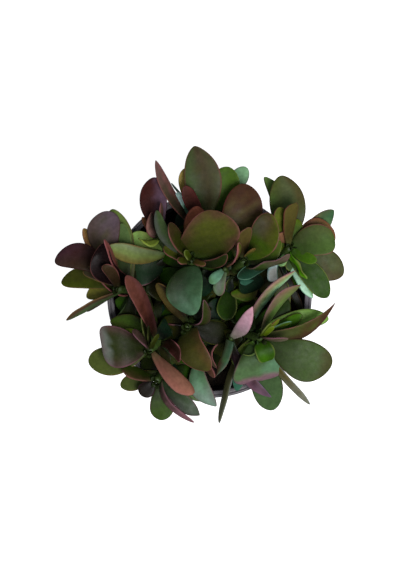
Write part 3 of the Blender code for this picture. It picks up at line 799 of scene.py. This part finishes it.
def pot_outline():
    """Half-section of the pot, from the middle of its floor round the rim to the middle of its foot."""
    band_foot = RIM - RIM_BAND
    shoulder = (wall_radius(band_foot) + WALL, band_foot - 0.6)
    heel = (BASE_RADIUS + 4.5, 26)
    ribs = []
    for middle in RIBS:
        for z, proud in ((middle + RIB_HALF, 0), (middle, RIB_PROUD), (middle - RIB_HALF, 0)):
            ribs.append((np.interp(z, (heel[1], shoulder[1]), (heel[0], shoulder[0])) + proud, z))
    return [
        (0, FLOOR), (wall_radius(FLOOR) - 2, FLOOR),
        *((wall_radius(z), z) for z in (FLOOR + 2, SOIL_TOP, RIM - 7)),
        *((RIM_RADIUS - inset, RIM - drop) for inset, drop in RIM_PROFILE),
        shoulder, *ribs, heel, (BASE_RADIUS + 0.4, 2), (BASE_RADIUS - 1.5, 0), (0, 0),
    ]


def mesh_object(name, shape, material):
    """A bmesh in mm as an object in metres."""
    bmesh.ops.recalc_face_normals(shape, faces=shape.faces)
    bmesh.ops.scale(shape, vec=Vector((MM, MM, MM)), verts=shape.verts)
    mesh = bpy.data.meshes.new(name)
    shape.to_mesh(mesh)
    shape.free()
    mesh.shade_smooth()
    mesh.materials.append(material)
    return add_object(name, mesh)


def pot_tone(place):
    """Bare plastic, a little dustier near the ground, the rim lighter from dust and painted light, and all
    of it lightest on the side where the light falls.
    """
    height = place.z / MM
    side = 0.5 + 0.5 * math.cos(math.atan2(place.y, place.x) - math.radians(LIT_SIDE))
    dust_and_light = 0.05 + 0.85 * smooth(-2.5, 0, height - RIM) + 0.1 * (1 - smooth(0, 30, height))
    # painted light: lightest on the side facing the light
    amount = dust_and_light * (0.17 + 0.83 * side ** 2)
    return [bare + (dust - bare) * float(amount) for bare, dust in zip(POT_BARE, RIM_DUST_AND_LIGHT)]


def make_pot(material):
    shape = bmesh.new()
    verts = [shape.verts.new((radius, 0, z)) for radius, z in eased(pot_outline(), CORNER)]
    edges = [shape.edges.new(pair) for pair in zip(verts, verts[1:])]
    bmesh.ops.spin(shape, geom=verts + edges, axis=UP, cent=(0, 0, 0), angle=2 * math.pi,
                   steps=POT_SIDES, use_merge=True)
    bmesh.ops.remove_doubles(shape, verts=shape.verts, dist=0.001)
    pot = mesh_object("pot_shell", shape, material)
    drill = bmesh.new()
    for i in range(HOLES):
        turn = 2 * math.pi * i / HOLES
        place = Vector((HOLE_RING * math.cos(turn), HOLE_RING * math.sin(turn), 0))
        bmesh.ops.create_cone(drill, cap_ends=True, segments=24, radius1=HOLE_RADIUS,
                              radius2=HOLE_RADIUS, depth=10, matrix=Matrix.Translation(place))
    cutter = mesh_object("pot_drill", drill, material)
    cut = pot.modifiers.new("drain_holes", "BOOLEAN")
    cut.object = cutter
    cut.operation = "DIFFERENCE"
    cut.solver = "EXACT"
    bpy.context.view_layer.update()
    solid = pot.evaluated_get(bpy.context.evaluated_depsgraph_get())
    pot.data = bpy.data.meshes.new_from_object(solid)
    pot.modifiers.clear()
    bpy.data.objects.remove(cutter)
    for face in pot.data.polygons:
        face.use_smooth = abs(face.normal.z) < 0.98
    layer = pot.data.color_attributes.new("tone", "FLOAT_COLOR", "POINT")
    for vert, paint in zip(pot.data.vertices, layer.data):
        paint.color = (*pot_tone(vert.co), 1)
    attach(pot, "root")
    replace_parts(pot, "pot")


def soil_height(x, y):
    bumps = math.sin(x / 9 + 1.3) * math.cos(y / 11 + 0.4) + 0.5 * math.sin(x / 5 - y / 7)
    return SOIL_TOP + 0.8 * bumps / 1.5


def make_crumbs(material):
    """Loose bark and grit lying on the potting mix, clear of the stems."""
    dice = random.Random("crumbs")
    feet = [stem_point(name, 0) for name in ROUTES]
    shape = bmesh.new()
    for _ in range(CRUMBS):
        turn = dice.uniform(0, 2 * math.pi)
        radius = CRUMB_REACH * math.sqrt(dice.random())
        place = Vector((radius * math.cos(turn), radius * math.sin(turn), 0))
        size = dice.uniform(*CRUMB_SIZES)
        stretch = Vector([dice.uniform(*limits) for limits in CRUMB_STRETCH])
        spin = dice.uniform(0, math.pi)
        if min(math.hypot(place.x - foot.x, place.y - foot.y) for foot in feet) < STEM_CLEARANCE:
            continue
        place.z = soil_height(place.x, place.y) + 0.15 * size
        lump = bmesh.ops.create_icosphere(shape, subdivisions=1, radius=size)["verts"]
        for vert in lump:
            vert.co *= dice.uniform(0.8, 1.2)
        bmesh.ops.scale(shape, vec=stretch, verts=lump)
        bmesh.ops.rotate(shape, verts=lump, cent=(0, 0, 0), matrix=Matrix.Rotation(spin, 3, "Z"))
        bmesh.ops.translate(shape, vec=place, verts=lump)
    crumbs = mesh_object("soil_crumbs", shape, material)
    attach(crumbs, "root")


# -------------------- pieces
def make_stem(name, material):
    """A stem from below the mix up to its rounded end, browner at its foot, with faint joints."""
    rings = []
    tones = []
    end = stem_point(name, 1)
    end_radius = stem_radius(name, 1)
    green = np.array(TONES["mid"]) * 0.7
    brown = np.array(TONES["brown"])

    def ring(centre, forward, radius, t):
        across = forward.cross(Vector((0.2, -0.9, 0.4))).normalized()
        up = across.cross(forward)
        turns = [2 * math.pi * k / STEM_SIDES for k in range(STEM_SIDES)]
        rings.append([centre + radius * (math.cos(a) * across + math.sin(a) * up) for a in turns])
        share = float(smooth(0.1, 0.8, t + 0.1 * math.sin(40 * t)))
        tones.append([brown + (green - brown) * share] * STEM_SIDES)

    ring(stem_point(name, 0) - PLANTING_DEPTH * UP, UP, FOOT_RADIUS, 0)
    for i in range(STEM_RINGS + 1):
        t = i / STEM_RINGS
        forward = stem_direction(name, t) if i else UP
        joint = JOINT_SWELL * max(0, math.cos(2 * math.pi * t * JOINTS)) ** 6
        ring(stem_point(name, t), forward, stem_radius(name, t) + joint, t)
    for turn in map(math.radians, ROUND_END):
        ring(end + end_radius * math.sin(turn) * forward, forward, end_radius * math.cos(turn), 1)
    points = np.array([[tuple(p) for p in r] for r in rings])
    tones = np.array(tones)
    shell = {"points": points, "tone": tones, "rim_tone": tones, "rim": np.zeros(points.shape[:2])}
    thing = skin(f"{name}_skin", [shell], material)
    return thing


def turned(across, forward, degrees):
    """The direction across, turned about forward."""
    turn = math.radians(degrees)
    return math.cos(turn) * across + math.sin(turn) * across.cross(forward)


def understory(stem, dice):
    """The leaves low on a stem, in a spiral, which close the mound beneath the rest, painted dark as the
    shade deep in the mound.
    """
    shells = []
    for i in range(LOW_LEAVES):
        along = 0.22 + 0.62 * i / LOW_LEAVES
        foot = stem_point(stem, along)
        forward = stem_direction(stem, along)
        across = forward.cross(Vector((0.3, 0.2, 1))).normalized()
        outward = turned(across, forward, GOLDEN_ANGLE * i + dice.uniform(-15, 15))
        reach = (outward + 0.35 * forward).normalized()
        reach.z = 0.5 * reach.z + 0.3
        tip = foot + dice.uniform(*LOW_LENGTHS) * reach.normalized()
        ceiling = RIM + LOW_CEILING + 0.35 * max(0, foot.z - RIM)
        tip.z = min(max(tip.z, RIM + LOW_FLOOR), ceiling)
        over = math.hypot(tip.x, tip.y) - LOW_REACH
        if over > 0:
            tip.x *= 1 - over / math.hypot(tip.x, tip.y)
            tip.y *= 1 - over / math.hypot(tip.x, tip.y)
        green = dice.choice(LOW_GREENS)
        width = dice.uniform(*LOW_WIDTHS)
        # painted shade: dark all over, darker still at the foot
        shells.append(leaf_shell(Leaf(
            f"{stem}_low_{i}", along, (tip.x, tip.y, tip.z - RIM), width, dice.uniform(-25, 25),
            f"{green}, black .4, black base .6", "deep", arch=2, cup=1, shade=0.75, stem=stem)))
    return shells


def buds(stem, dice):
    """The youngest leaves: two small upright pairs at a stem's end, the second opened wider."""
    end = stem_point(stem, 1)
    forward = stem_direction(stem, 1)
    across = forward.cross(Vector((dice.uniform(-1, 1), dice.uniform(-1, 1), 0.2))).normalized()
    shells = []
    for i in range(4):
        pair, partner = divmod(i, 2)
        outward = turned(across, forward, 180 * partner + 90 * pair + dice.uniform(-20, 20))
        reach = (forward + (0.5 + 0.6 * pair) * outward).normalized()
        tip = end + (stem_radius(stem, 1) + dice.uniform(*BUD_LENGTHS) + pair) * reach
        width = dice.uniform(*BUD_WIDTHS)
        # painted very dark, so that they sink into the shade at the stems' ends
        shells.append(leaf_shell(Leaf(
            f"{stem}_bud_{i}", 1, (tip.x, tip.y, tip.z - RIM), width, dice.uniform(-40, 40),
            "mid, deep base .6", "deep", arch=0.6, cup=0.5, thick=1.4, petiole=2, edge=0.1,
            shade=0.16, stem=stem)))
    return shells


def main():
    leaf_skin = leaf_material()
    dice = random.Random("understory")
    for name in STEMS:
        piece = skin(name.replace("stem", "low_leaves"), understory(name, dice), leaf_skin)
    for name in STEMS:
        piece = skin(f"buds_{name}", buds(name, dice), leaf_skin)
    for leaf in leaves:
        piece = skin(leaf.name, [leaf_shell(leaf)], leaf_skin)
        node = f"leaf_{leaf.name}"
        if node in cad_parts:
            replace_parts(piece, node)
    stem_skin = stem_material()
    for name in STEMS:
        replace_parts(make_stem(name, stem_skin), name)
    for name in TWIGS:
        make_stem(name, stem_skin)
    make_pot(pot_material())
    potting_mix = soil_material()
    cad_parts["soil"].data.materials.clear()
    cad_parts["soil"].data.materials.append(potting_mix)
    make_crumbs(potting_mix)


# -------------------- stage, light and camera, in metres
FLOOR_RADIUS = 20
FLOOR_GLOW = 0.9
SKY_COLOUR = (0.90, 0.96, 1.0)
FRONT = (0.5, -0.85, 0.0)
FRONT_STRENGTH = 0.355
BACK_STRENGTH = 0.26
OVERHEAD = 0.6  # share of the light's strength left straight overhead
BENEATH = 0.5  # and below the horizon
WINDOW_PLACE = (0.4, -0.4, 1.4)
WINDOW_AIM = (0, 0, 0.1)
WINDOW_SIZE = 0.7
WINDOW_POWER = 14  # watts
CAMERA_PLACE = (-0.00695, 0.0077, RIM * MM + 1.5)
CAMERA_LENS = 129.5  # mm
CAMERA_SENSOR = 36  # mm


def make_stage():
    """A pale floor, which the camera sees but which lights nothing."""
    n = Nodes(bpy.data.materials.new("floor_white"))
    n.fill(n.shader.inputs, Base_Color=(0.8, 0.8, 0.8, 1), Roughness=0.9,
           Emission_Color=(1, 1, 1, 1), Emission_Strength=FLOOR_GLOW)
    sheet = bmesh.new()
    bmesh.ops.create_circle(sheet, cap_ends=True, segments=64, radius=FLOOR_RADIUS)
    mesh = bpy.data.meshes.new("floor")
    sheet.to_mesh(mesh)
    sheet.free()
    mesh.materials.append(n.owner)
    floor = add_object("floor", mesh)
    floor.visible_glossy = False
    floor.visible_diffuse = False


def make_world():
    """A cool light from every side, strongest from the front right, dimmer overhead and below."""
    n = Nodes(bpy.data.worlds.new("studio"), "Background")
    n.fill(n.shader.inputs, Color=(*SKY_COLOUR, 1))
    way = n.new("ShaderNodeTexCoord").outputs["Generated"]
    split = n.new("ShaderNodeSeparateXYZ")
    n.link(way, split.inputs["Vector"])
    front = n.new("ShaderNodeVectorMath", operation="DOT_PRODUCT")
    front.inputs[1].default_value = FRONT
    n.link(way, front.inputs[0])
    soft = {"interpolation_type": "SMOOTHSTEP"}
    above = n.span(split.outputs["Z"], 0.7, 0.95, 1.0, OVERHEAD, **soft)
    below = n.span(split.outputs["Z"], -0.1, 0.1, BENEATH, 1.0, **soft)
    around = n.span(front.outputs["Value"], -0.9, 0.9, BACK_STRENGTH, FRONT_STRENGTH, **soft)
    n.link(n.multiply(n.multiply(above, below), around), n.shader.inputs["Strength"])
    bpy.context.scene.world = n.owner


def make_window():
    light = bpy.data.lights.new("window", "AREA")
    light.shape = "DISK"
    light.size = WINDOW_SIZE
    light.energy = WINDOW_POWER
    window = add_object("window", light)
    window.location = WINDOW_PLACE
    aim = Vector(WINDOW_AIM) - Vector(WINDOW_PLACE)
    window.rotation_euler = aim.to_track_quat("-Z", "Y").to_euler()


def make_camera():
    """A camera that looks straight down from a little off the pot's axis."""
    lens = bpy.data.cameras.new("camera")
    lens.sensor_width = CAMERA_SENSOR
    lens.lens = CAMERA_LENS
    camera = add_object("camera", lens)
    camera.location = CAMERA_PLACE
    bpy.context.scene.camera = camera


main()
make_stage()
make_world()
make_window()
make_camera()
bpy.context.scene.view_settings.view_transform = "Standard"
